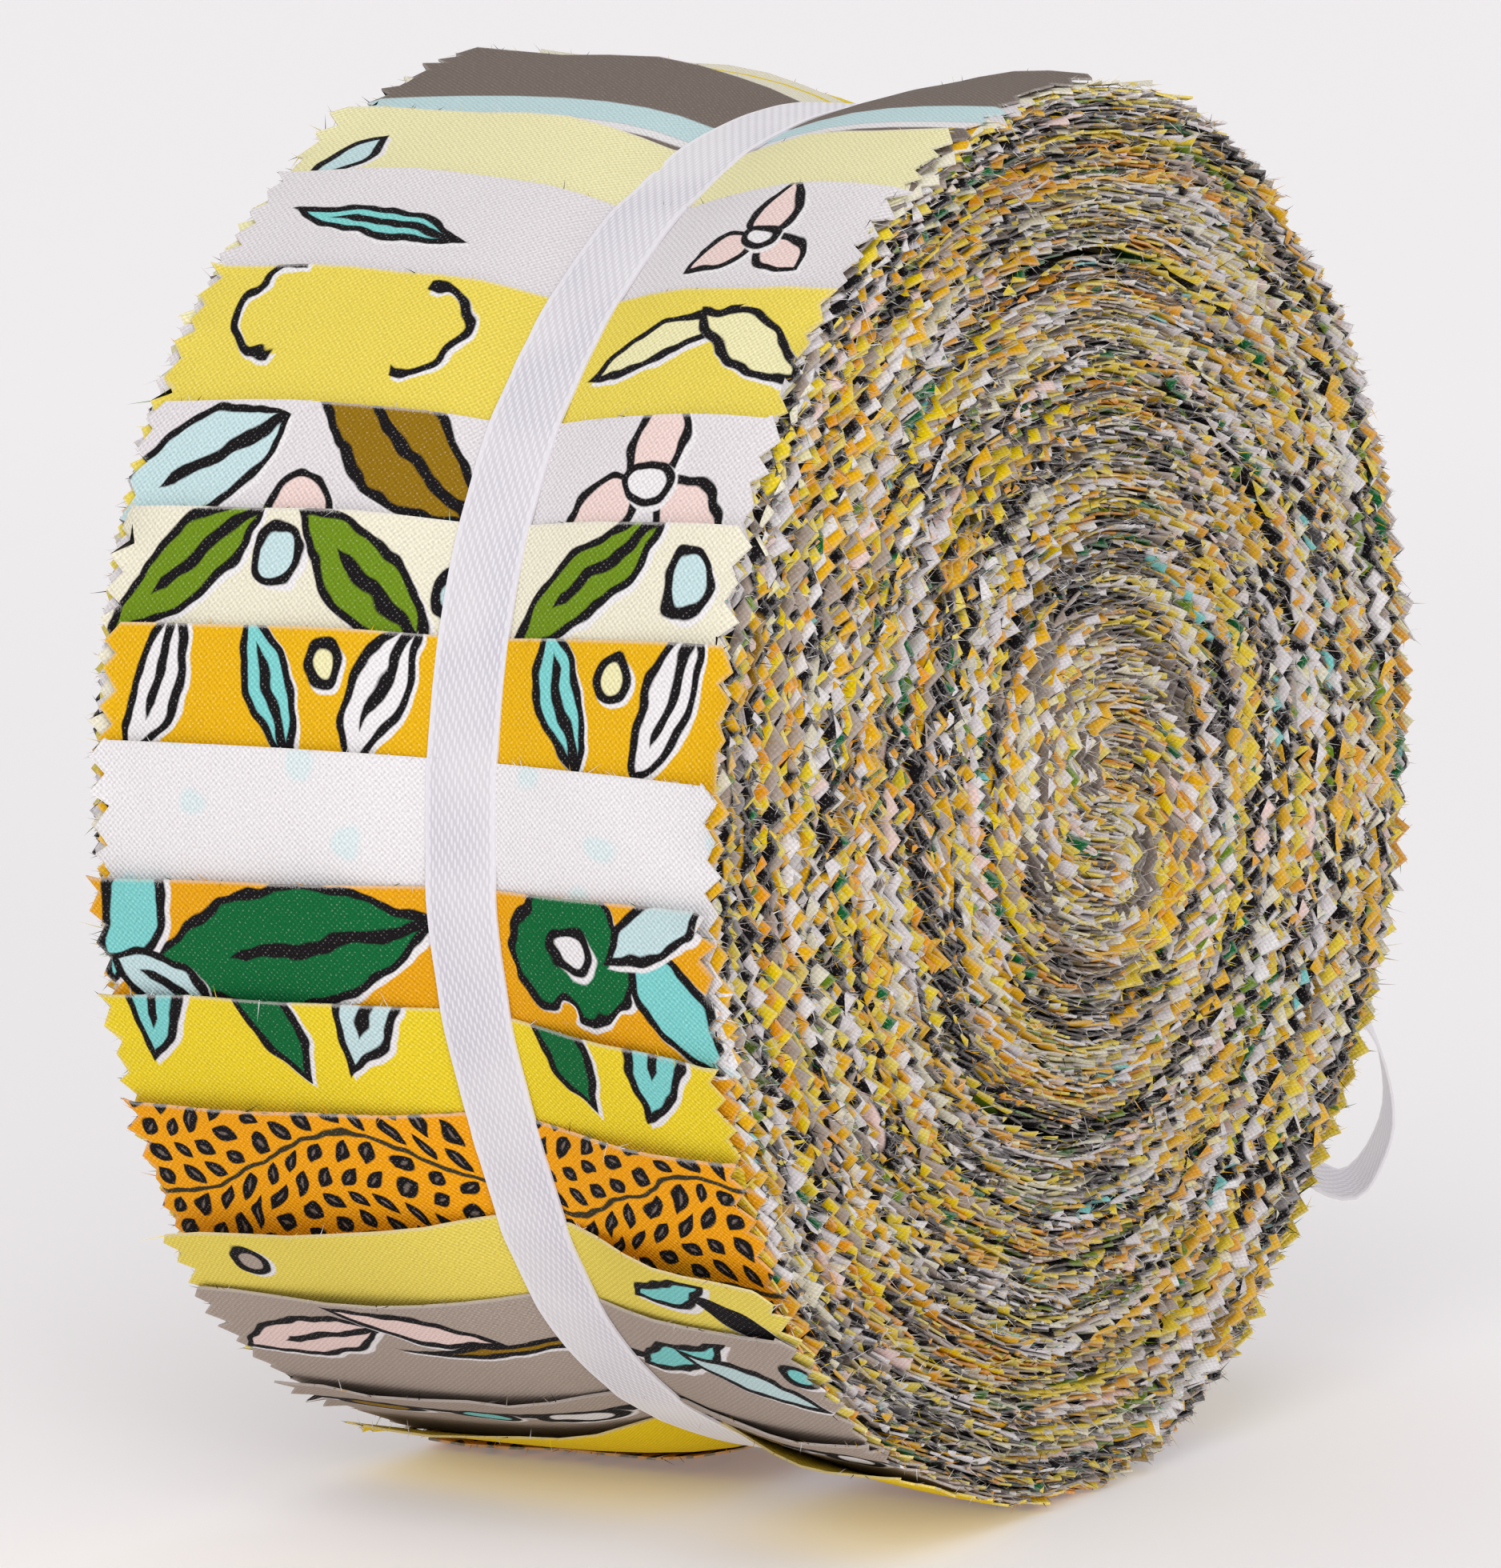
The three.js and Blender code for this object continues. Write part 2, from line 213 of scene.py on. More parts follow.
def make_floor():
    """A sheet of pale paper: flat under the roll, and curving up behind it to a wall."""
    half, reach, bend = FLOOR["half"], FLOOR["reach"], FLOOR["bend"]
    quarter = np.linspace(0, math.pi / 2, FLOOR["steps"])
    curve = np.stack([reach + bend * np.sin(quarter), bend * (1 - np.cos(quarter))], -1)
    profile = np.concatenate([[(-half, 0)], curve, [(reach + bend, bend + FLOOR["height"])]])
    turn = math.radians(CAMERA["azimuth"])
    back = np.array([-math.sin(turn), math.cos(turn)])
    side = np.array([math.cos(turn), math.sin(turn)])
    points = [(*(back * along + side * across), up) for across in (-half, half) for along, up in profile]
    count = len(profile)
    faces = [(count + i, count + i + 1, i + 1, i) for i in range(count - 1)]
    mesh = bpy.data.meshes.new("floor")
    mesh.from_pydata(points, [], faces)
    mesh.shade_smooth()
    board = Finish("pale_board")
    spot = board.node("TexCoord", {}, {}, "Object")
    away = board.length(spot)
    # painted light: the floor glows, weaker near the roll and stronger away from it
    glow = board.mix(PAINTED_GLOW["near"], PAINTED_GLOW["far"], 1 - away.below(PAINTED_GLOW["edge"], PAINTED_GLOW["soft"]))
    paper = ink(238, 235, 236)
    board.surface({"Base Color": paper, "Roughness": 0.8, "Emission Color": glow, "Emission Strength": 1.0})
    mesh.materials.append(board.material)
    floor = add("floor", mesh)


def make_lights():
    """Soft daylight all round, a broad lamp overhead to the left and a smaller one near the camera."""
    world = bpy.data.worlds.new("studio")
    world.use_nodes = True
    background = world.node_tree.nodes["Background"]
    background.inputs["Color"].default_value = DAYLIGHT["colour"]
    background.inputs["Strength"].default_value = DAYLIGHT["strength"]
    bpy.context.scene.world = world
    for lamp in LAMPS:
        data = bpy.data.lights.new(lamp["name"], "AREA")
        data.size = lamp["size"]
        data.energy = lamp["power"]
        light = add(lamp["name"], data)
        light.location = lamp["at"]
        aim = Vector((0, 0, ROLL_RADIUS * MM)) - light.location
        light.rotation_euler = aim.to_track_quat("-Z", "Y").to_euler()


make_floor()
make_lights()


def table(columns, rows):
    """Rows of values as dicts with the columns' names."""
    return [dict(zip(columns.split(), row)) for row in rows]


# The fabric strips: woven cotton cut 63.5 mm wide with pinking shears. All 32 are stacked face out
# and wound up together round two tight folds, and each free end lies on the one before it.
STRIP_WIDTH = 63.5
CLOTH_THICKNESS = 0.22
STACK = 11.35
TOOTH_PITCH = 3.0
TOOTH_DEPTH = 1.4
TOOTH_FOOT = 0.3
TOOTH_HEIGHTS = np.array([0.0, 1.0])

# One row for each strip, from the outermost end back round the roll: where its end lies, how far
# the end slants and bows across the width (mm), how far it lifts (mm), and its print.
STRIPS = table("end slant bow lift cloth", [
    (298.0, -0.9, 0.0, 0.4, "yellow_petals"),
    (285.0, 0.9, 0.0, 0.2, "grey_petals"),
    (273.5, 0.4, 0.0, 0.0, "cream_leaf"),
    (262.0, -3.0, 0.0, 0.0, "orange_sprigs"),
    (243.6, 4.5, -0.3, 1.0, "plain_amber"),
    (235.0, 1.0, -0.6, 0.4, "taupe_stripes"),
    (219.2, 1.3, -0.4, 0.7, "taupe_petals"),
    (211.6, 0.7, 1.1, 2.2, "pale_yellow"),
    (201.0, 0.2, 0.4, 0.8, "orange_sprigs"),
    (191.8, -0.6, 0.8, 0.4, "yellow_buds"),
    (181.3, 1.1, 0.2, 0.5, "orange_leaves"),
    (171.3, 0.3, 0.3, 0.3, "white_dots"),
    (161.7, 1.1, 0.2, 0.3, "amber_ribbons"),
    (152.7, 1.1, 0.3, 0.4, "cream_leaf"),
    (143.9, 1.1, 0.3, 0.3, "grey_petals"),
    (131.2, 0.6, 0.4, 0.3, "yellow_scrolls"),
    (119.0, 1.3, 0.6, 0.4, "grey_blossom"),
    (109.0, 0.9, 1.0, 0.3, "light_yellow"),
    (88.3, 3.0, 1.4, 0.4, "taupe_bands"),
    (78.5, 2.0, 0.8, 0.3, "cream_line"),
    (71.5, 0.9, 0.0, 0.3, "yellow_petals"),
    (64.0, -0.3, 0.0, 0.3, "grey_blossom"),
    (53.5, 1.2, 0.4, 0.4, "white_dots"),
    (42.0, 0.4, 0.0, 0.3, "yellow_scrolls"),
    (30.0, -0.8, 0.3, 0.4, "taupe_petals"),
    (19.5, 1.0, 0.0, 0.3, "amber_ribbons"),
    (7.0, 0.2, 0.2, 0.4, "grey_petals"),
    (-4.0, -1.1, 0.0, 0.3, "light_yellow"),
    (-14.5, 0.7, 0.3, 0.4, "orange_leaves"),
    (-27.0, -0.4, 0.0, 0.3, "cream_line"),
    (-38.5, 1.1, 0.2, 0.3, "taupe_bands"),
    (-49.0, 0.6, 0.0, 0.4, "yellow_buds"),
])
LAYER = STACK / len(STRIPS)

# Where the round form is pressed in (negative) or stands out: height, middle angle and spread
OUT_OF_ROUND = table("height angle spread", [
    (0.8, 145, 16),
    (-1.0, 202, 12),
    (-2.6, 315, 16),
    (0.6, 60, 20),
    (-0.95, 270, 9),
    (-1.2, 248, 11),
    (0.7, 36, 6),
    (-0.6, 50, 6),
    (0.5, 70, 7),
])
# The winding's eye lies off the roll's middle, and the turns buckle here and there.
EYE_OFFSET = dict(x=6.6, z=1.3)
BUCKLES = table("push angle spread radius depth", [
    (-1.3, 62, 16, 44, 8),
    (1.1, 88, 12, 38, 7),
    (-1.0, 300, 14, 40, 9),
    (0.9, 262, 12, 46, 8),
    (-0.8, 140, 20, 30, 7),
    (0.9, 20, 12, 30, 7),
])
# Gaps between one turn of the stack and the next: width, middle angle, spread and the turn's radius
CREVICES = table("width angle spread turn", [
    (1.6, 164, 48, 3),
    (1.2, 110, 34, 4),
    (1.0, 235, 26, 3),
    (0.8, 30, 40, 3),
    (0.9, 300, 30, 4),
    (0.6, 180, 40, 5),
])

# The stack's two tight folds, the point that the turns go round, and how many turns the arcs allow for
UPPER_FOLD = np.array([0.0, STACK / 2])
LOWER_FOLD = np.array([0.0, -STACK / 2])
WINDING_MIDDLE = np.array([0.0, STACK / 4])
TURNS = 6

# Long waves along each strip move its layer sideways and a little out: wave lengths and sizes in mm.
# Beside a crevice the layers sink along the axis, and less so deeper in the stack.
FULL_TURN = 6.283
SWAY = dict(waves=(190, 113, 61), sizes=(0.3, 0.25, 0.2), out=0.04, aside=0.6)
SINK = dict(share=0.3, fade=6)
# A free end lifts and curls over a reach back from its cut, less so under the ribbon's hold.
LIFT_REACH = 16.0
CURL = dict(height=0.25, reach=5, waves=(14, 24), hold=7)
# Yarns pulled out of line along the cuts, how far tooth tips bend, and the rim's drawn width
RAGGED = dict(teeth=0.3, ends=0.21)
TIP_BEND = 0.34
RIM_SHARE = 0.7


def bell(offset, spread):
    """1 in the middle, falling to 0 as the exponential of the offset squared."""
    return np.exp(-((offset / spread) ** 2))


def around(angle, middle):
    """Signed difference of two angles in degrees, from -180 to 180."""
    return (angle - middle + 180) % 360 - 180


def round_form(angle):
    """Outer radius at an angle: a circle with bells pressed in or out."""
    bells = [b["height"] * bell(around(angle, b["angle"]), b["spread"]) for b in OUT_OF_ROUND]
    return ROLL_RADIUS + sum(bells)


def ribbon_y(angle):
    """The ribbon's middle line wanders a little along the roll."""
    return -6.0 + 1.4 * np.sin(np.radians(angle))


def waist_drop(angle, y):
    """Radius lost under the ribbon, fading out exponentially to both sides of it."""
    c, s = np.cos(np.radians(angle)), np.sin(np.radians(angle))
    depth = np.where(c > 0, WAIST["right"], WAIST["left"]) * c**2
    depth = depth + np.where(s > 0, WAIST["top"], WAIST["bottom"]) * s**2
    beside = np.maximum(0, np.abs(y - ribbon_y(angle)) - RIBBON_WIDTH / 2)
    return depth * np.exp(-beside / WAIST_SPREAD)


def wound_arcs(depth):
    """The arcs that a layer follows from its inner end outward, at its depth in the stack: round the
    upper fold, through the middle, round the lower fold, then half turns round two centres by turns.
    Columns: centre x and z, radius, first and last clockwise angle, and which way the face looks."""
    back = STACK - depth
    reach = STACK + back
    first = math.acos(np.clip((reach**2 - 2 * STACK**2) / (reach * STACK), -1, 1))
    rows = [
        (*LOWER_FOLD, reach, first, 0, -1),
        (*UPPER_FOLD, back, 2 * math.pi, math.pi, -1),
        (*LOWER_FOLD, depth, 0, math.pi, 1),
    ]
    for turn in range(1, TURNS + 1):
        rows.append((*UPPER_FOLD, turn * STACK + depth, math.pi, 2 * math.pi, 1))
        rows.append((0.0, 0.0, (turn + 0.5) * STACK + depth, 0, math.pi, 1))
    return np.array(rows)


def along_arcs(arcs, distance):
    """Points, face directions and turn numbers at distances along a row of arcs."""
    lengths = arcs[:, 2] * np.abs(arcs[:, 4] - arcs[:, 3])
    ends = np.cumsum(lengths)
    which = np.clip(np.searchsorted(ends, distance), 0, len(arcs) - 1)
    share = (distance - (ends - lengths)[which]) / lengths[which]
    angle = arcs[which, 3] + (arcs[which, 4] - arcs[which, 3]) * share
    away = np.stack([np.sin(angle), np.cos(angle)], -1)
    point = arcs[which, :2] + arcs[which, 2, None] * away
    return point - WINDING_MIDDLE, away * arcs[which, 5, None], (which - 1) // 2


def end_distance(arcs, end):
    """How far along its arcs a layer's free end lies, for an end at the given angle."""
    distance = np.linspace(600, 1500, 3000)
    point = along_arcs(arcs, distance)[0]
    radius = np.hypot(*point.T)
    swept = -np.degrees(np.unwrap(np.arctan2(point[:, 1], point[:, 0])))
    at_rim = np.interp(ROLL_RADIUS - LAYER / 2, radius, swept)
    return np.interp(at_rim + around(-end, at_rim), swept, distance)


def lay_down(point, y):
    """Takes ideal points of the winding to where they lie: buckled, out of round, with the eye off
    the middle, and drawn in at the waist, all fading towards the middle. Gives x, y and z."""
    x, z = point[..., 0], point[..., 1]
    radius = np.hypot(x, z)
    angle = np.degrees(np.arctan2(z, x))
    share = radius / ROLL_RADIUS
    laid = radius + (round_form(angle) - ROLL_RADIUS) * share**2 - waist_drop(angle, y) * share**2.5
    for b in BUCKLES:
        side = bell(around(angle, b["angle"]), b["spread"])
        laid = laid + b["push"] * side * bell(radius - b["radius"], b["depth"])
    scale = laid / np.maximum(radius, 1e-6)
    off = 1 - np.minimum(share, 1) ** 1.5
    out_x = x * scale + EYE_OFFSET["x"] * off + AXIS_X
    out_z = z * scale + EYE_OFFSET["z"] * off + AXIS_Z
    return np.stack([out_x, np.broadcast_to(y, out_x.shape), out_z], -1)


def crevice(point, turn):
    """Width of the gap on the inner side of this turn of the stack."""
    angle = np.degrees(np.arctan2(point[..., 1], point[..., 0]))
    gaps = [c["width"] * bell(around(angle, c["angle"]), c["spread"]) * (turn == c["turn"]) for c in CREVICES]
    return sum(gaps)


class Strip:
    """One strip of cloth, wound into its place in the stack."""

    def __init__(self, number, row):
        self.row = row
        self.depth = STACK - (number + 0.5) * LAYER
        self.arcs = wound_arcs(self.depth)
        self.length = end_distance(self.arcs, row["end"])
        drift = 0.4 * math.sin(number * 0.9) + 0.35 * math.sin(number * 0.37 + 1)
        self.offset = drift + rng.normal(0, 0.22)
        phases = number * np.array([0.31, -0.23, 0.4]) + rng.normal(0, 0.5, 3)
        self.waves = np.column_stack([SWAY["waves"], phases, SWAY["sizes"]])

    def lay(self, distance, y, rise, side):
        """Points of one face, at distances along the strip and places across it: the winding's point,
        moved along the cloth's own normal by its rise, by half its thickness and by any gap."""
        point, face, turn = along_arcs(self.arcs, distance)
        sway = sum(size * np.sin(FULL_TURN * distance / wave + phase) for wave, phase, size in self.waves)
        share = self.depth / STACK
        gap, gap_outside = crevice(point, turn), crevice(point, turn + 1)
        rise = rise + gap * (1 - share) + SWAY["out"] * sway
        fade = SINK["fade"]
        sink = SINK["share"] * (gap * math.exp(-share * fade) + gap_outside * math.exp((share - 1) * fade))
        sink = sink * (0.5 - y / STRIP_WIDTH)
        point = point + face * (rise + side * CLOTH_THICKNESS / 2)[..., None]
        return lay_down(point, y + self.offset + SWAY["aside"] * sway + sink)

    def grid(self):
        """Distances, places across, rise and rim of every row and column. The columns follow the teeth,
        and in the last of them the cut end slants, bows, lifts and curls a little."""
        step = TOOTH_PITCH / len(TOOTH_HEIGHTS)
        count = round(self.length / step)
        distance = np.linspace(0, self.length, count + 1)
        tooth = TOOTH_HEIGHTS[np.arange(count + 1) % 2]
        half = STRIP_WIDTH / 2
        depth = TOOTH_DEPTH * rng.uniform(0.8, 1.05)
        base = half - TOOTH_DEPTH - TOOTH_FOOT
        point = along_arcs(self.arcs, distance)[0]
        ribbon = ribbon_y(np.degrees(np.arctan2(point[:, 1], point[:, 0])))
        jag = np.abs(rng.normal(0, RAGGED["teeth"], (2, count + 1)))
        anchors = np.stack([
            depth * (1 - tooth) - half + jag[0],
            np.full(count + 1, -base),
            ribbon - RIBBON_WIDTH / 2,
            ribbon + RIBBON_WIDTH / 2,
            np.full(count + 1, base),
            half - depth * (1 - tooth) - jag[1],
        ])
        low = np.minimum(ROW_PLACES.astype(int), 4)
        share = (ROW_PLACES - low)[:, None]
        y = anchors[low] * (1 - share) + anchors[low + 1] * share
        rim = RIM_SHARE * np.minimum(y - anchors[0], anchors[5] - y)
        first = count - round(END_ZONE / step)
        blend = np.clip((np.arange(count + 1) - first) / (count - first), 0, 1)
        across = y / half
        shift = self.row["bow"] * (1 - 2 * across**2) - self.row["slant"] * across
        distance = distance + shift * blend
        distance[[0, -1]] += rng.normal(0, RAGGED["ends"], (2, count + 1))
        left = self.length + shift - distance
        beside = np.maximum(0, np.abs(y - ribbon) - RIBBON_WIDTH / 2)
        free = 1 - bell(beside, CURL["hold"])
        wave, phase = rng.uniform(*CURL["waves"]), rng.uniform(0, 6.28)
        curl = CURL["height"] * (1 + np.sin(FULL_TURN * y / wave + phase))
        curl = curl * np.clip(1 - left / CURL["reach"], 0, 1) ** 2
        rise = (self.row["lift"] * np.clip(1 - left / LIFT_REACH, 0, 1) ** 2 + curl) * free
        rise[[0, -1]] += rng.normal(0, TIP_BEND, (2, count + 1)) * tooth**2
        return distance, y, rise, rim, left, (0, count - round(WAIST_ZONE / step), first)


# Rows across a strip: the two toothed edges, the teeth's feet and the ribbon's two sides are 0 to 5.
# The inner turns have rows only at their edges, the outer two the ribbon's as well, and the last
# stretch, which shows, has them all. The zones are so many mm back from the cut end.
ROW_PLACES = np.array([
    0, 1, 1.17, 1.34, 1.5, 1.67, 1.84, 2, 2.33, 2.67,
    3, 3.1, 3.2, 3.32, 3.45, 3.6, 3.75, 3.9, 4, 5,
])
MAIN_ROWS = np.flatnonzero(ROW_PLACES == ROW_PLACES.astype(int))
EDGE_ROWS = MAIN_ROWS[[0, 1, 4, 5]]
ALL_ROWS = np.arange(len(ROW_PLACES))
WAIST_ZONE = 450.0
END_ZONE = 32.0
PRINT_ZONE = END_ZONE - 2


def new_mesh(name, points, faces):
    """A mesh, from points in millimetres."""
    mesh = bpy.data.meshes.new(name)
    mesh.from_pydata((points * MM).tolist(), [], faces)
    return mesh


def paint(mesh, name, values):
    """Stores a row of three numbers with each vertex."""
    mesh.attributes.new(name, "FLOAT_VECTOR", "POINT").data.foreach_set("vector", values.ravel())


def strip_faces(starts, count):
    """Faces of one side of a strip, which vertices are used, and the border loop. Each zone of rows is
    a grid, and a column of many-sided faces joins it to the next."""
    ids = np.full((len(ROW_PLACES), count + 1), -1)
    used = np.zeros(ids.shape, bool)
    zones = list(zip((EDGE_ROWS, MAIN_ROWS, ALL_ROWS), starts))
    for rows, start in zones:
        used[rows, start:] = True
    ids[used] = np.arange(used.sum())
    faces = []
    for (rows, start), stop in zip(zones, [*starts[1:], count + 1]):
        block = ids[rows, start:stop]
        corners = [block[:-1, :-1], block[:-1, 1:], block[1:, 1:], block[1:, :-1]]
        faces += np.stack(corners, -1).reshape(-1, 4).tolist()
        if stop <= count:
            for low, high in zip(rows[:-1], rows[1:]):
                across = ids[low:high + 1, stop]
                faces.append([ids[low, stop - 1], *across[across >= 0], ids[high, stop - 1]])
    border = np.concatenate([ids[0], ids[1:, -1], ids[-1, -2::-1], ids[EDGE_ROWS[-2:0:-1], 0]])
    return faces, used, border


def soften_inside(mesh, left):
    """Clears the sharp edges away from the strip's end, so that the teeth there shade as soft tufts."""
    corners = np.empty(len(mesh.edges) * 2, np.int32)
    mesh.edges.foreach_get("vertices", corners)
    sharp = np.empty(len(mesh.edges), bool)
    mesh.attributes["sharp_edge"].data.foreach_get("value", sharp)
    sharp &= left[corners[::2]] < END_ZONE
    mesh.attributes["sharp_edge"].data.foreach_set("value", sharp)


def build_strip(number, row, finishes):
    """A closed sheet: the printed face, the same mesh turned over as its back, and the cut edge."""
    strip = Strip(number, row)
    distance, y, rise, rim, left, starts = strip.grid()
    faces, used, border = strip_faces(starts, distance.shape[1] - 1)
    sides = [strip.lay(distance, y, rise, side)[used] for side in (1, -1)]
    points = np.concatenate(sides)
    points[:, 2] = np.maximum(points[:, 2], 0.05)
    back = len(sides[0])
    after = np.roll(border, -1)
    walls = np.stack([border + back, after + back, after, border], -1).tolist()
    faces = faces + [[v + back for v in reversed(face)] for face in faces] + walls
    mesh = new_mesh(f"strip_{number + 1:02d}", points, faces)
    cloth = np.stack([left[used], y[used], np.zeros(back)], -1)
    cloth = np.concatenate([cloth, cloth + [0, 0, 1]])
    paint(mesh, "cloth", cloth)
    rims = np.concatenate([rim[used], rim[used]])
    mesh.attributes.new("rim", "FLOAT", "POINT").data.foreach_set("value", rims)
    for finish in finishes:
        mesh.materials.append(finish)
    hidden = cloth[[face[0] for face in faces], 0] > PRINT_ZONE
    mesh.polygons.foreach_set("material_index", hidden.astype(np.int32))
    mesh.shade_smooth()
    mesh.set_sharp_from_angle(angle=math.radians(50))
    soften_inside(mesh, cloth[:, 0])
    piece = add(mesh.name, mesh)
    middle = strip.lay(distance, y, rise, 0)
    return piece, sides[0], dict(near=middle[0], far=middle[-1], end=middle[1:-1, -1])


# The prints: plain grounds with leaves, petals, blossoms and stems in black outline, in rows near the
# end that shows.
INK = dict(
    yellow=ink(230, 204, 44), bright_yellow=ink(240, 208, 8), soft_yellow=ink(224, 203, 84),
    pale_yellow=ink(228, 208, 92), light_yellow=ink(228, 221, 172), amber=ink(224, 172, 18),
    gold=ink(224, 158, 16), orange=ink(238, 160, 12), olive=ink(140, 106, 12),
    leaf_green=ink(106, 136, 24), green=ink(12, 100, 52), teal=ink(122, 200, 197),
    light_blue=ink(188, 212, 214), dot_blue=ink(212, 223, 224), pink=ink(228, 202, 196),
    white=ink(226, 222, 223), cream=ink(226, 220, 198), light_grey=ink(216, 210, 212),
    undyed=ink(240, 236, 236), cut_edge=ink(214, 208, 204), taupe=ink(168, 153, 142),
    dark_taupe=ink(118, 106, 98), stem=ink(60, 52, 30), black=ink(22, 18, 21),
)
# Each print has its ground, three inks for the patches farther in, and one row for each shape: kind,
# middle (mm from the cut end, mm across), turn, half length and half width in mm, and ink. Bands are
# from and to so many mm from the cut end.
PRINTS = dict(
    yellow_petals=dict(ground="yellow", patches="leaf_green black white", shapes=[
        "veined 8 24 35 9 4 white", "veined 8 8 145 9 4 light_yellow", "veined 8 -10 35 9 4 white",
        "veined 8 -25 145 9 4 light_yellow"]),
    grey_petals=dict(ground="light_grey", patches="pink black amber", shapes=[
        "veined 6 25 60 9 4.5 light_blue", "disc 10 14 0 3.4 3.2 pink", "veined 3 6 130 12 4.2 olive",
        "leaf 2 -20 0 5 2.6 pink", "leaf 9 -16 50 5 2.6 pink", "leaf 9 -25 130 5 2.6 pink",
        "disc 6 -20 0 2 2 white"]),
    cream_leaf=dict(ground="cream", patches="leaf_green black teal", shapes=[
        "veined 5 24 50 9 3 leaf_green", "disc 4 15 0 2.6 2.4 light_blue",
        "veined 6 6 130 9 3 leaf_green", "disc 7 -3 0 2.6 2.4 light_blue",
        "veined 5 -16 50 9 3 leaf_green", "disc 5 -26 0 2.6 2.6 light_blue"]),
    orange_sprigs=dict(ground="orange", sprigs=True, patches="orange black dark_taupe", shapes=[]),
    plain_amber=dict(ground="bright_yellow", patches="amber black white", shapes=[]),
    taupe_stripes=dict(ground="taupe", patches="amber black olive", shapes=[
        "leaf 5 0 90 36 0.5 black", "disc 6 24 90 4 1.9 olive", "disc 6 13 90 3 1.9 teal",
        "disc 6 3 90 4 1.9 white", "disc 6 -16 90 4 1.9 olive", "disc 6 -26 90 3 1.9 white"]),
    taupe_petals=dict(ground="taupe", patches="pink black white", shapes=[
        "veined 7 22 70 9 3.2 pink", "leaf 4 10 110 8 1.8 pink", "leaf 8 -1 90 12 0.8 olive",
        "leaf 6 -17 60 7 1.8 teal", "leaf 8 -24 120 7 1.8 light_blue", "disc 6 -30 0 1.8 1.6 teal"]),
    pale_yellow=dict(ground="pale_yellow", patches="amber taupe white", shapes=[
        "leaf 4 -20 60 5 1.5 teal", "leaf 6 -26 120 4 1.3 black", "disc 4 23 0 1.8 1.6 taupe"]),
    yellow_buds=dict(ground="yellow", patches="light_grey black green", shapes=[
        "veined 0 25 20 7 2.4 teal", "leaf 1 14 160 7 2.4 green", "veined 0 4 20 7 2.4 light_blue",
        "leaf 1 -15 160 7 2.4 green", "veined 0 -25 20 7 2.4 teal"]),
    orange_leaves=dict(ground="gold", patches="green amber light_grey", shapes=[
        "veined 6 12 80 15 5.5 green", "leaf 3 27 30 7 3.0 teal", "veined 10 25 120 6 2.4 light_blue",
        "disc 5 -17 0 6.5 6.5 green", "disc 5 -17 0 2.4 2.2 white", "leaf 9 -27 140 7 2.8 teal",
        "leaf 2 -26 60 6 2.2 light_blue"]),
    white_dots=dict(ground="white", dots=True, patches="yellow taupe amber", shapes=[]),
    amber_ribbons=dict(ground="amber", patches="white black light_grey", shapes=[
        "veined 5 26 20 7 2.4 white", "veined 5 15 160 7 2.2 teal", "veined 5 4 20 7 2.4 white",
        "veined 5 -14 160 7 2.2 teal", "veined 5 -25 20 7 2.4 white",
        "disc 3 -19.5 0 1.6 1.6 light_yellow", "disc 3 9.5 0 1.6 1.6 light_yellow"]),
    yellow_scrolls=dict(ground="soft_yellow", patches="amber black leaf_green", shapes=[
        "arc 5 22 90 5 5 teal", "arc 6 9 270 5 5 white", "leaf 6 -16 60 7 2 light_yellow",
        "leaf 6 -25 120 7 2 light_yellow"]),
    grey_blossom=dict(ground="light_grey", patches="amber white dark_taupe", shapes=[
        "veined 7 18 100 9 1.8 teal", "leaf 3.5 -20 0 3.6 2.0 pink", "leaf 9 -17 55 3.6 2.0 pink",
        "leaf 9 -23 125 3.6 2.0 pink", "disc 7 -20 0 1.4 1.4 white"]),
    light_yellow=dict(ground="light_yellow", patches="white yellow black", shapes=[
        "leaf 8 26 30 4 1.6 light_blue"]),
    taupe_bands=dict(ground="dark_taupe", shapes=[], patches="cream black light_grey", bands=[
        (16.5, 21.0, "light_blue"), (21.0, 22.4, "white"), (34.0, 44.0, "cream"), (46.0, 52.0, "white")]),
    cream_line=dict(ground="cream", shapes=[], patches="amber taupe yellow", bands=[
        (3.0, 4.0, "yellow"), (24.0, 34.0, "light_grey"), (44.0, 50.0, "yellow")]),
)
# Sizes in mm: half an outline, how far the white halo has slipped, how far drawn lines wander, the
# blur of an edge, the pale rim of a cut, and from one yarn to the next
OUTLINE = 0.42
SLIP = 0.4
HAND = 3.2
SOFT = 0.16
BORDER = 0.1
WEAVE = 0.27
# Leaflets stand in pairs along waving stems; dots lie loosely; and patches cover what a bare share
# leaves of the ground, with the inner end of each strip partly grey.
SPRIG = dict(wave=38, sway=4, apart=12, pair=2.8, length=1.3, width=0.72, rows=((1.8, 58), (4.6, 48)))
DOTS = dict(scale=0.11, edge=0.14, soft=0.06)
PATCH = dict(size=3.8, squeeze=(0.5, 1, 1), bare=0.46, first=0.68, second=0.84, corner=0.5)
INNER = dict(distance=1040, soft=70, share=0.33)


def placed(finish, cloth, sizes, slip=0.0):
    """The cloth's coordinates as seen from a shape: turned with it, and 1 at its half length or width."""
    along, across, turn, length, width = sizes
    return finish.node("Mapping", dict(vector_type="TEXTURE"), {
        "Vector": cloth, "Location": (along + slip, across - slip, 0),
        "Rotation": (0, 0, math.radians(turn)), "Scale": (length, width, 1),
    })


def leaf_depth(finish, spot, width):
    """Millimetres outside a pointed leaf: across it, plus the square of along it, less 1."""
    along, across, _ = finish.split(spot)
    return (along * along + abs(across) - 1) * width


def veined_depth(finish, spot, width):
    """A leaf with a line along its middle, which fades out before the tip."""
    along, across, _ = finish.split(spot)
    across = abs(across)
    vein = (0.04 - across - finish.maths("MAXIMUM", along - 0.3, 0)) * width
    return finish.maths("MAXIMUM", (along * along + across - 1) * width, vein)


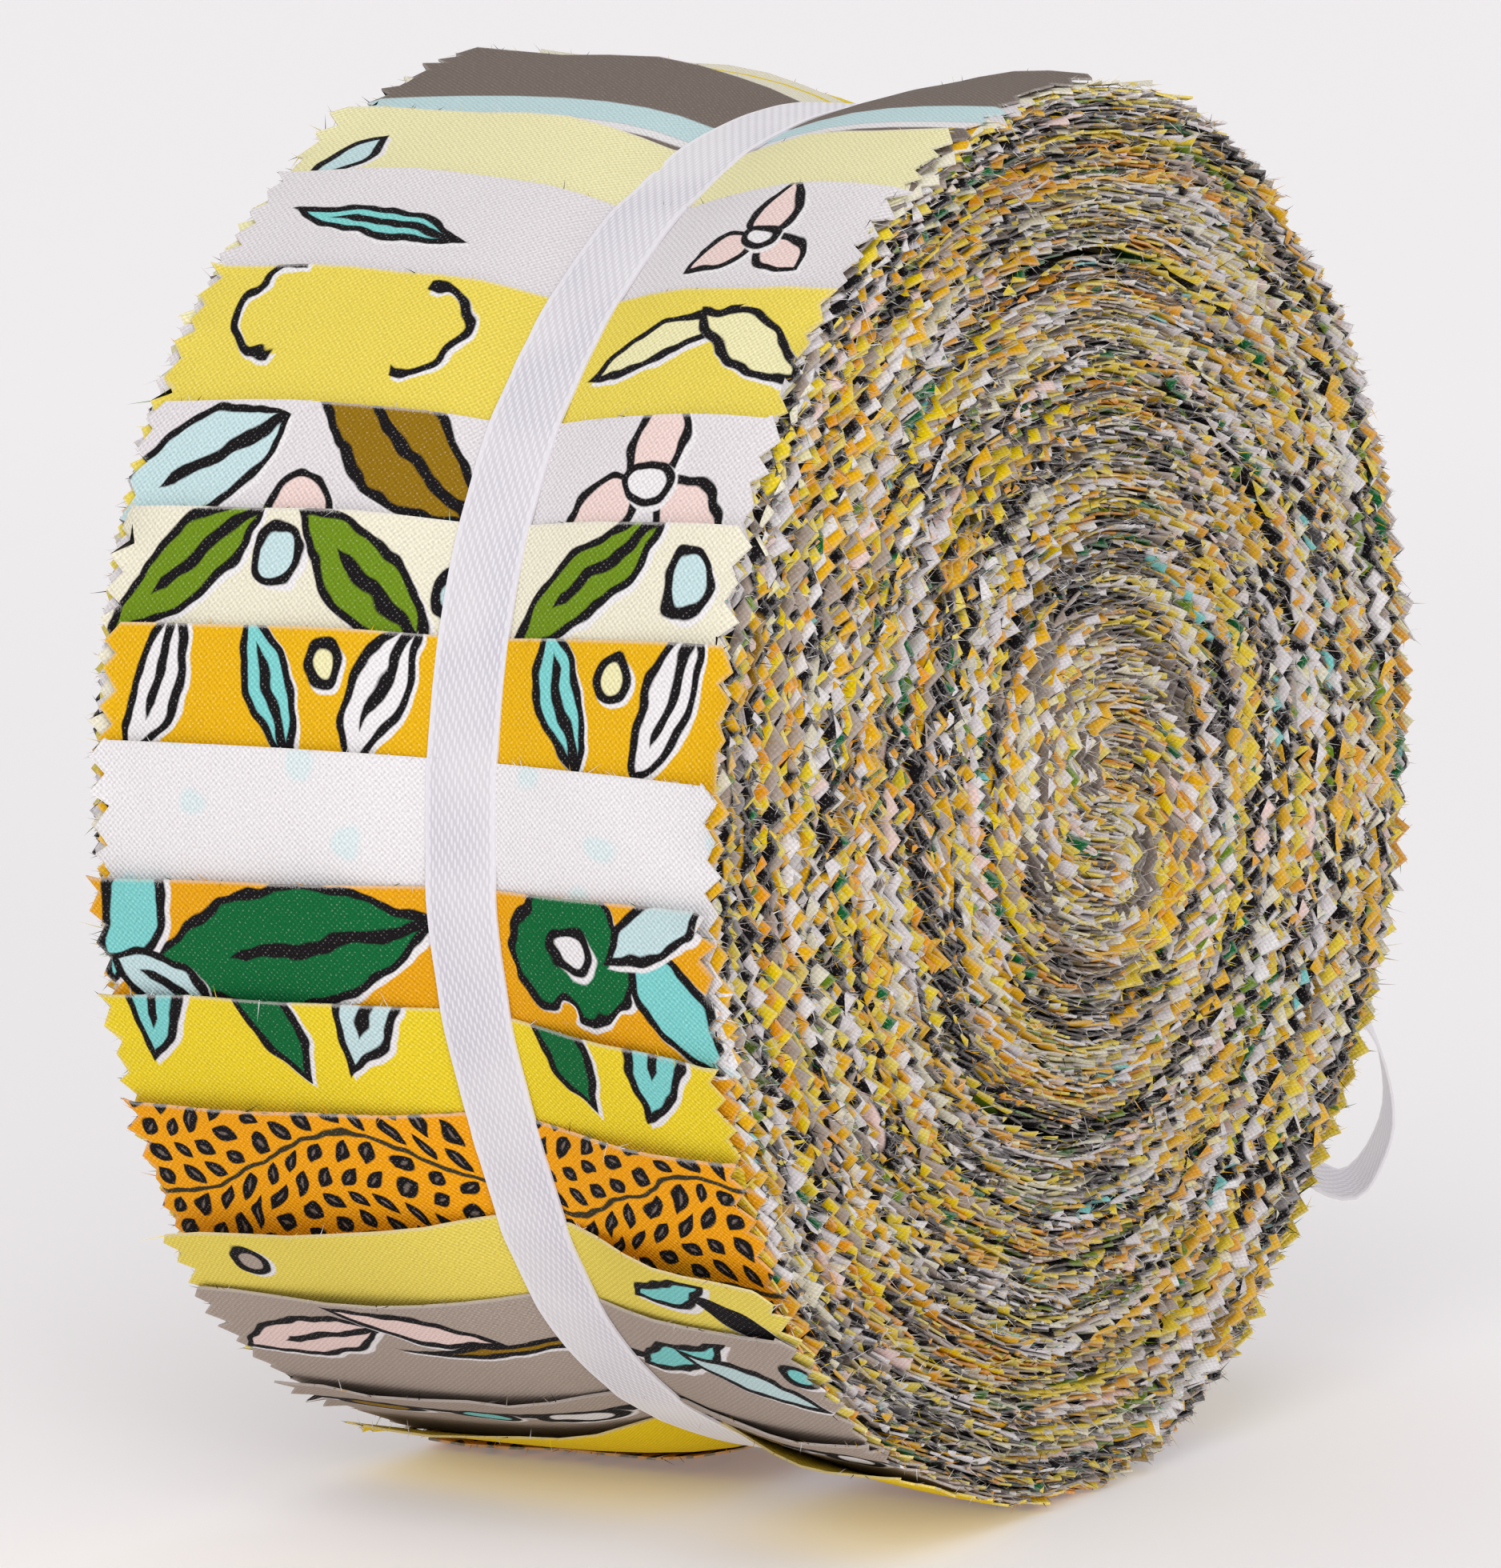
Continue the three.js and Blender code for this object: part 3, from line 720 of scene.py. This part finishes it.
def arc_depth(finish, spot, width):
    """Millimetres from half of an oval's outline."""
    along = finish.split(spot)[0]
    return finish.maths("MAXIMUM", abs(finish.length(spot) - 1) * width, along * -width)


def disc_depth(finish, spot, width):
    """Millimetres outside an oval."""
    return (finish.length(spot) - 1) * width


DEPTHS = dict(leaf=leaf_depth, veined=veined_depth, arc=arc_depth, disc=disc_depth)


def print_cloth(name, design, shown):
    """The material of one print: ground, then shapes in outline where the strip's end shows, or patches
    where only its edges do, and over these the weave and the pale cut edges. The weave is the product
    of two sines plus a speckle, and undyed yarn shows on its rare peaks."""
    finish = Finish(name)
    cloth = finish.attribute("cloth")
    along, across, side = finish.split(cloth)
    colour = finish.mix(INK[design["ground"]], INK["white"], side * 0.04)
    if shown:
        colour = draw_shapes(finish, colour, cloth, along, design)
    else:
        colour = patches(finish, colour, cloth, along, design["patches"].split())
    yarns = finish.maths("SINE", along * (math.pi / WEAVE)) * finish.maths("SINE", across * (math.pi / WEAVE))
    speck = finish.noise(cloth, 4.5, 1.0)
    grain = yarns * 0.13 + speck * 0.5 + 0.74
    colour = finish.vector("SCALE", {0: colour, "Scale": grain})
    peaks = 1 - (yarns * 0.3 + speck).below(0.82, 0.2)
    colour = finish.mix(colour, INK["undyed"], peaks * 0.15)
    rim = finish.attribute("rim", "Fac")
    ragged = speck * 0.9 - 0.45
    border = (rim + ragged).below(BORDER, 0.3) * 0.3
    if shown:
        end = (abs(along) + ragged * 0.6).below(0.22, 0.15) * 0.4
        border = finish.maths("MAXIMUM", border, end)
        creases = (finish.noise(cloth, 0.11), 0.3, 0.0012)
        threads = (yarns + speck, 0.4, 0.00009)
        finish.surface({"Normal": finish.bumps(creases, threads)})
    colour = finish.mix(colour, INK["cut_edge"], border)
    finish.surface({"Base Color": colour, "Roughness": 0.85, "Specular IOR Level": 0.12})
    return finish.material


def draw_shapes(finish, colour, cloth, along, design):
    """Bands, leaflets or dots, then the shapes one over the other: a white halo, an ink outline and a
    fill each, with the lines wandering as if drawn by hand."""
    drawn = finish.node("TexNoise", {}, {"Vector": cloth, "Scale": 0.16, "Detail": 2.0}, "Color")
    drawn = finish.vector("SUBTRACT", {0: drawn, 1: (0.5, 0.5, 0.5)})
    drawn = finish.vector("SCALE", {0: drawn, "Scale": HAND})
    cell = finish.vector("ADD", {0: cloth, 1: drawn})
    for low, high, tint in design.get("bands", []):
        middle, half = (low + high) / 2, (high - low) / 2
        inside = abs(along - middle).below(half, SOFT * 2)
        colour = finish.mix(colour, INK[tint], inside)
    if design.get("sprigs"):
        colour = sprigs(finish, colour, cell)
    if design.get("dots"):
        colour = faint_dots(finish, colour, cell)
    for shape in design["shapes"]:
        kind, *sizes, tint = shape.split()
        sizes = [float(size) for size in sizes]
        halo = DEPTHS[kind](finish, placed(finish, cell, sizes, SLIP), sizes[-1])
        depth = DEPTHS[kind](finish, placed(finish, cell, sizes), sizes[-1])
        colour = finish.mix(colour, INK["white"], halo.below(OUTLINE, SOFT))
        colour = finish.mix(colour, INK["black"], depth.below(OUTLINE, SOFT))
        colour = finish.mix(colour, INK[tint], depth.below(-OUTLINE, SOFT))
    return colour


def sprigs(finish, colour, cell):
    """Dark leaflets with grey hearts, in pairs on both sides of stems that run across the strip."""
    along, across, _ = finish.split(cell)
    apart, pair, width = SPRIG["apart"], SPRIG["pair"], SPRIG["width"]
    wave = finish.maths("SINE", across * (math.tau / SPRIG["wave"])) * SPRIG["sway"]
    off = finish.maths("FLOORED_MODULO", along + wave, apart) - apart / 2
    within = finish.maths("FLOORED_MODULO", across, pair) - pair / 2
    spot = finish.node("CombineXYZ", {}, {"X": within, "Y": abs(off)})
    for place, turn in SPRIG["rows"]:
        sizes = (0, place, turn, SPRIG["length"], width)
        depth = leaf_depth(finish, placed(finish, spot, sizes), width)
        colour = finish.mix(colour, INK["black"], depth.below(0.06, SOFT))
        colour = finish.mix(colour, INK["dark_taupe"], depth.below(-0.6, SOFT))
    stem = abs(off).below(0.28, SOFT)
    return finish.mix(colour, INK["stem"], stem)


def patches(finish, colour, cloth, along, tints):
    """Small patches in three colours with black between them, over half of the ground, and a third of
    all of it grey towards the inner end."""
    drawn_out = finish.vector("MULTIPLY", {0: cloth, 1: PATCH["squeeze"]})
    values = {"Vector": drawn_out, "Scale": 1 / PATCH["size"]}
    tone = finish.node("TexVoronoi", dict(voronoi_dimensions="2D"), values, "Color")
    corner = Shade(finish, tone.socket.node.outputs["Distance"])
    tone, other, _ = finish.split(tone)
    fill = finish.mix(INK[tints[2]], INK[tints[1]], tone.below(PATCH["second"], 0.01))
    fill = finish.mix(fill, INK[tints[0]], tone.below(PATCH["first"], 0.01))
    fill = finish.mix(INK["black"], fill, corner.below(PATCH["corner"], 0.06))
    colour = finish.mix(colour, fill, 1 - tone.below(PATCH["bare"], 0.01))
    inner = (1 - along.below(INNER["distance"], INNER["soft"])) * other.below(INNER["share"], 0.02)
    return finish.mix(colour, INK["dark_taupe"], inner)


def faint_dots(finish, colour, cell):
    """Loose pale blue dots on white, one near each point of a scatter."""
    values = {"Vector": cell, "Scale": DOTS["scale"]}
    spots = finish.node("TexVoronoi", dict(voronoi_dimensions="2D"), values)
    return finish.mix(colour, INK["dot_blue"], spots.below(DOTS["edge"], DOTS["soft"]))


materials = {
    name: [print_cloth(name, design, True), print_cloth(name + "_edges", design, False)]
    for name, design in PRINTS.items()
}
strips, outsides, cut_edges = [], [], []
for number, row in enumerate(STRIPS):
    piece, outside, edges = build_strip(number, row, materials[row["cloth"]])
    strips.append(piece)
    outsides.append(outside)
    cut_edges.append(edges)
    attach(piece, "root")
    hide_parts("fabric_roll")


# Loose fibres: pinking leaves short ends of yarn standing out all along the cut edges, and a few along
# the straight cut ends, in the prints' own colours or white.
FIBRE = dict(length=0.75, width=0.11, root=0.1, vary=0.45, lean=0.55, near=1.12, far=1.5)

TRIANGLE = ((1, 0), (-0.5, 0.87), (-0.5, -0.87))
SPIKE_FACES = np.array([[0, 1, 3], [1, 2, 3], [2, 0, 3], [0, 2, 1]])


def fibre_tints(cloth, count):
    """Colours for loose ends of one print: its own inks or undyed white, each lighter or darker."""
    design = PRINTS[cloth]
    names = (design["ground"], design["ground"], *design["patches"].split(), "white", "white", "light_grey")
    inks = np.array([INK[name][:3] for name in names])
    return inks[rng.integers(len(inks), size=count)] * rng.uniform(0.7, 1.05, (count, 1))


def build_fibres(name, lines, outward, spacing):
    """Three-sided spikes: a base at a random place along one of the lines, and a tip that stands off
    it by the outward direction plus a random lean."""
    roots, leans, tints = [], [], []
    for line, row in zip(lines, STRIPS):
        steps = np.linalg.norm(np.diff(line, axis=0), axis=1)
        along = np.concatenate([[0], np.cumsum(steps)])
        places = rng.uniform(0, along[-1], round(along[-1] / spacing))
        roots.append(np.stack([np.interp(places, along, line[:, axis]) for axis in range(3)], -1))
        leans.append(np.tile(outward, (len(places), 1)) + rng.normal(0, FIBRE["lean"], (len(places), 3)))
        tints.append(fibre_tints(row["cloth"], len(places)))
    root, lean = np.concatenate(roots), np.concatenate(leans)
    lean /= np.linalg.norm(lean, axis=1, keepdims=True)
    length = FIBRE["length"] * rng.lognormal(0, FIBRE["vary"], (len(root), 1))
    side = np.cross(lean, rng.normal(0, 1, root.shape))
    side /= np.linalg.norm(side, axis=1, keepdims=True)
    other = np.cross(lean, side)
    half = FIBRE["width"] / 2
    foot = root - lean * FIBRE["root"]
    base = [foot + (side * c + other * s) * half for c, s in TRIANGLE]
    points = np.stack([*base, root + lean * length], 1).reshape(-1, 3)
    points[:, 2] = np.maximum(points[:, 2], 0.02)
    faces = (np.arange(len(root))[:, None, None] * 4 + SPIKE_FACES).reshape(-1, 3)
    mesh = new_mesh(name, points, faces.tolist())
    paint(mesh, "tint", np.repeat(np.concatenate(tints), 4, axis=0))
    mesh.materials.append(fibre.material)
    piece = add(name, mesh)
    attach(piece, "root")


fibre = Finish("cotton_fibre")
fibre.surface({"Base Color": fibre.attribute("tint"), "Roughness": 0.9, "Specular IOR Level": 0.12})
build_fibres("fibres_near", [edge["near"] for edge in cut_edges], (0.0, -1.0, 0.0), FIBRE["near"])
build_fibres("fibres_far", [edge["far"] for edge in cut_edges], (0.0, 1.0, 0.0), FIBRE["far"])
build_fibres("fibres_ends", [edge["end"] for edge in cut_edges], (0.0, 0.0, 0.0), FIBRE["far"])


# The tie: one length of white satin ribbon, woven 7 mm wide, pulled tight once round the roll's waist
# and tied in a bow on the right-hand side. It lies on the strips wherever they stand highest.
RIBBON_THICKNESS = 0.25
RIBBON_CLEAR = 0.06
RIBBON_CROWN = 0.06
KNOT_ANGLE = 333.0
KNOT_SIZE = dict(along=9.0, around=8.5, out=3.6)
SATIN = dict(pitch=0.32, length=1.4, stagger=0.39, selvedge=0.45)
# lilac and warm are the ribbon's own tones; shine is a painted sheen on its floats and selvedges
SATIN_INK = dict(lilac=ink(168, 163, 172), warm=ink(182, 178, 181), shine=ink(210, 206, 211))


def satin():
    """White satin: floats in rows, staggered from one warp to the next, and plain selvedges, both
    painted lighter as a painted sheen.
    A faint glow stands for the light that passes through the thin ribbon."""
    finish = Finish("white_satin")
    weave = finish.attribute("satin")
    along, across, _ = finish.split(weave)
    warp = finish.maths("FLOOR", across / SATIN["pitch"])
    along = finish.maths("FRACT", along / SATIN["length"] + warp * SATIN["stagger"])
    beside = abs(finish.maths("FRACT", across / SATIN["pitch"]) - 0.5)
    inside = abs(along - 0.5).below(0.27, 0.2) * beside.below(0.3, 0.25)
    selvedge = 1 - abs(across).below(RIBBON_WIDTH / 2 - SATIN["selvedge"], 0.15)
    shine = finish.maths("MAXIMUM", inside, selvedge * 0.7)
    tint = finish.noise(weave, 0.09, 1.0)
    ground = finish.mix(SATIN_INK["lilac"], SATIN_INK["warm"], tint.below(0.5, 0.25))
    # painted sheen: the floats and selvedges get the lighter shine ink
    colour = finish.mix(ground, SATIN_INK["shine"], shine * 0.8)
    rumples = (finish.noise(weave, 0.22), 0.35, 0.0006)
    floats = (shine, 0.4, 0.00005)
    finish.surface({
        "Base Color": colour, "Roughness": 0.5 - shine * 0.18, "Normal": finish.bumps(rumples, floats),
        "Emission Color": (0.97, 0.95, 1.0, 1.0), "Emission Strength": 0.18,
        "Specular IOR Level": 0.6, "Sheen Weight": 0.2,
    })
    return finish.material


satin_material = satin()


def ring_faces(ids):
    """Four-sided faces between the rows and columns of a grid of vertices."""
    corners = [ids[:-1, :-1], ids[1:, :-1], ids[1:, 1:], ids[:-1, 1:]]
    return np.stack(corners, -1).reshape(-1, 4)


def satin_threads(flow, steps):
    """The satin's own coordinates: millimetres along and across it."""
    flow, steps = np.broadcast_arrays(flow, steps[:, None])
    return np.stack([flow, steps, np.zeros(flow.shape)], -1).reshape(-1, 3)


def unit_ahead(path):
    """Unit vectors along a path."""
    ahead = np.gradient(path, axis=0)
    return ahead / np.linalg.norm(ahead, axis=1, keepdims=True)


def ribbon_piece(name, middle, across, out, skew=0.0, closed=False):
    """A closed thin sheet carried along a path: each row runs square across it, crowned a little in
    the middle, and the sheet stands half its thickness to each side along the out direction. Where
    it is skewed, its two edges lie that much ahead and behind."""
    steps = np.linspace(-1, 1, 11)
    half = RIBBON_WIDTH / 2
    crown = RIBBON_CROWN * (1 - steps**2)
    flow = np.concatenate([[0], np.cumsum(np.linalg.norm(np.diff(middle, axis=0), axis=1))])
    skew = np.broadcast_to(skew, len(middle))
    base = middle[None] + across[None] * (steps * half)[:, None, None]
    base = base + unit_ahead(middle)[None] * skew[None, :, None] * steps[:, None, None]
    base = base + out[None] * crown[:, None, None]
    rows, count = len(steps), len(middle)
    sides = [(base + out[None] * side * RIBBON_THICKNESS / 2).reshape(-1, 3) for side in (1, -1)]
    ids = np.arange(rows * count).reshape(rows, count)
    if closed:
        ring = np.concatenate([ids, ids[:, :1]], 1)
        borders = [ring[0], ring[-1, ::-1]]
    else:
        ring = ids
        borders = [np.concatenate([ids[0], ids[1:, -1], ids[-1, -2::-1], ids[-2::-1, 0]])]
    faces = ring_faces(ring)
    back = rows * count
    walls = [np.stack([b[:-1], b[1:], b[1:] + back, b[:-1] + back], -1) for b in borders]
    faces = np.concatenate([faces, faces[:, ::-1] + back, *walls])
    mesh = new_mesh(name, np.concatenate(sides), faces.tolist())
    paint(mesh, "satin", np.tile(satin_threads(flow, steps * half), (2, 1)))
    mesh.shade_smooth()
    mesh.set_sharp_from_angle(angle=math.radians(50))
    mesh.materials.append(satin_material)
    piece = add(name, mesh)
    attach(piece, "root")
    return piece


def band_radius(angle):
    """How far out the tie lies: the strips' highest points under it in each few degrees, smoothed."""
    points = np.concatenate(outsides)
    x, z = points[:, 0] - AXIS_X, points[:, 2] - AXIS_Z
    turn = np.degrees(np.arctan2(z, x)) % 360
    under = np.abs(points[:, 1] - ribbon_y(turn)) < RIBBON_WIDTH / 2 + 0.5
    bins = (turn[under] / BAND_BIN).astype(int)
    highest = np.zeros(round(360 / BAND_BIN))
    np.maximum.at(highest, bins, np.hypot(x, z)[under])
    reach = np.arange(-BAND_REACH, BAND_REACH + 1)
    spread = bell(reach, BAND_REACH / 2)
    level = sum(np.roll(highest, k) * w for k, w in zip(reach, spread)) / spread.sum()
    level = np.maximum(level, sum(np.roll(highest, k) for k in (-1, 0, 1)) / 3)
    middles = (np.arange(len(level)) + 0.5) * BAND_BIN
    return np.interp(angle, middles, level, period=360)


BAND_BIN = 1.0
BAND_REACH = 8
angle = np.arange(0, 360, 1.0)
radians = np.radians(angle)
radius = band_radius(angle) + RIBBON_CLEAR + RIBBON_THICKNESS / 2
out = np.stack([np.cos(radians), np.zeros(len(angle)), np.sin(radians)], -1)
middle = out * radius[:, None] + [AXIS_X, 0, AXIS_Z]
middle[:, 1] = ribbon_y(angle)
middle[:, 2] = np.maximum(middle[:, 2], 0.2)
across = np.broadcast_to([0.0, 1.0, 0.0], middle.shape)
band = ribbon_piece("satin_band", middle, across, out, closed=True)
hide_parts("ribbon_band")


def smooth_path(points, count):
    """A Catmull-Rom curve through the points, taken at even steps of its parameter."""
    points = np.asarray(points, float)
    padded = np.concatenate([[2 * points[0] - points[1]], points, [2 * points[-1] - points[-2]]])
    at = np.linspace(0, len(points) - 1, count)
    low = np.minimum(at.astype(int), len(points) - 2)
    t = (at - low)[:, None]
    a, b, c, d = (padded[low + k] for k in range(4))
    return 0.5 * (2 * b + (c - a) * t + (2 * a - 5 * b + 4 * c - d) * t**2 + (3 * b - a - 3 * c + d) * t**3)


# Points of the bow as offsets in mm from the knot's middle: the loops stand out to both sides of
# the tie and droop under their own weight, and the tails hang below the knot.
LOOP = [
    (-0.8, 4.2, 0.4), (-0.8, 7.2, 0.4), (0.6, 9.8, 1.8), (4.6, 12.8, 3.8),
    (8.6, 16.0, 2.6), (12.0, 19.2, -3.0), (12.6, 20.4, -11.0), (9.8, 18.0, -17.0),
    (5.8, 14.2, -14.6), (2.6, 10.8, -6.6), (1.0, 8.0, -1.4), (0.8, 4.2, -0.4),
]
TAILS = dict(
    near=[
        (-1.4, -0.6, -3.4), (-1.2, -1.6, -7.0), (-1.0, -3.2, -12.0),
        (-0.4, -5.2, -18.0), (0.8, -6.8, -23.5), (1.8, -7.4, -27.0),
    ],
    far=[
        (-2.6, 0.8, -3.2), (-3.3, 1.8, -7.0), (-3.4, 4.0, -12.5),
        (-2.6, 7.0, -18.5), (-1.0, 9.2, -22.5), (0.4, 10.4, -25.6),
    ],
)
LOOP_FACING = (0.82, -0.57, 0.2)
TAIL_SLANT = 2.4
turn = math.radians(KNOT_ANGLE)
knot_out = np.array([math.cos(turn), 0, math.sin(turn)])
knot_around = np.array([-math.sin(turn), 0, math.cos(turn)])
knot_radius = float(band_radius(KNOT_ANGLE)) + 1.0 + KNOT_SIZE["out"] / 2
knot_middle = np.array([AXIS_X, float(ribbon_y(KNOT_ANGLE)), AXIS_Z]) + knot_out * knot_radius


def square_to(path, wish):
    """Unit vectors across a path, as near as they can be to the wished direction, and those out of it."""
    ahead = unit_ahead(path)
    across = wish - ahead * (wish * ahead).sum(1, keepdims=True)
    across /= np.linalg.norm(across, axis=1, keepdims=True)
    return across, np.cross(ahead, across)


for name, side in (("near", -1), ("far", 1)):
    path = smooth_path(np.array(LOOP) * [1, side, 1], 61) + knot_middle
    weight = np.sin(np.linspace(0, math.pi, len(path)))[:, None] ** 0.8
    wish = knot_around * (1 - weight) + np.array(LOOP_FACING) * [1, side, 1] * weight
    across, out = square_to(path, wish)
    pinch = 1 - 0.35 * (1 - weight)
    loop = ribbon_piece(f"satin_loop_{name}", path, across * pinch, out)
    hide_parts(f"ribbon_loop_{name}")
    path = smooth_path(TAILS[name], 31) + knot_middle
    across, out = square_to(path, np.broadcast_to([0.0, 1.0, 0.0], path.shape))
    slant = np.linspace(0, 1, len(path)) ** 8 * TAIL_SLANT * side
    tail = ribbon_piece(f"satin_tail_{name}", path, across, out, slant)
    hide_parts(f"ribbon_tail_{name}")


def knot_points(count_around, count_along):
    """The knot: a flattened tube round the loops, its two mouths drawn in and folds running over it.
    Its section is an oval whose sine and cosine are raised to a power, which squares it a little."""
    u = np.linspace(0, 2 * math.pi, count_around, endpoint=False)[None]
    v = np.linspace(-1, 1, count_along)[:, None]
    close = (1 - np.abs(v) ** 5) ** 0.5
    folds = 0.05 * np.sin(9 * v + 1.5 * np.sin(u)) + 0.03 * np.sin(17 * v - 2 * np.cos(u))
    power = 0.75
    c, s = np.cos(u), np.sin(u)
    radial = np.sign(c) * np.abs(c) ** power * KNOT_SIZE["out"] / 2
    around = np.sign(s) * np.abs(s) ** power * KNOT_SIZE["around"] / 2
    swell = (0.88 + 0.12 * np.cos(1.6 * v) + folds) * close
    along = v * KNOT_SIZE["along"] / 2 + 0.6 * np.sin(u) * (1 - v**2)
    return (
        knot_middle
        + (radial * swell)[..., None] * knot_out
        + (around * swell)[..., None] * knot_around
        + np.broadcast_to(along, swell.shape)[..., None] * [0, 1, 0]
    )


KNOT_GIRTH = 24
points = knot_points(40, 27)
rows, count = points.shape[:2]
ids = np.arange(rows * count).reshape(rows, count)
ring = np.concatenate([ids, ids[:, :1]], 1)
mesh = new_mesh("satin_knot", points.reshape(-1, 3), ring_faces(ring).tolist())
paint(mesh, "satin", satin_threads(np.linspace(0, KNOT_GIRTH, count), np.linspace(-3.4, 3.4, rows)))
shell = bmesh.new()
shell.from_mesh(mesh)
bmesh.ops.remove_doubles(shell, verts=shell.verts, dist=1e-6)
bmesh.ops.recalc_face_normals(shell, faces=shell.faces)
shell.to_mesh(mesh)
shell.free()
mesh.shade_smooth()
mesh.materials.append(satin_material)
knot = add("satin_knot", mesh)
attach(knot, "root")
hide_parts("ribbon_knot")
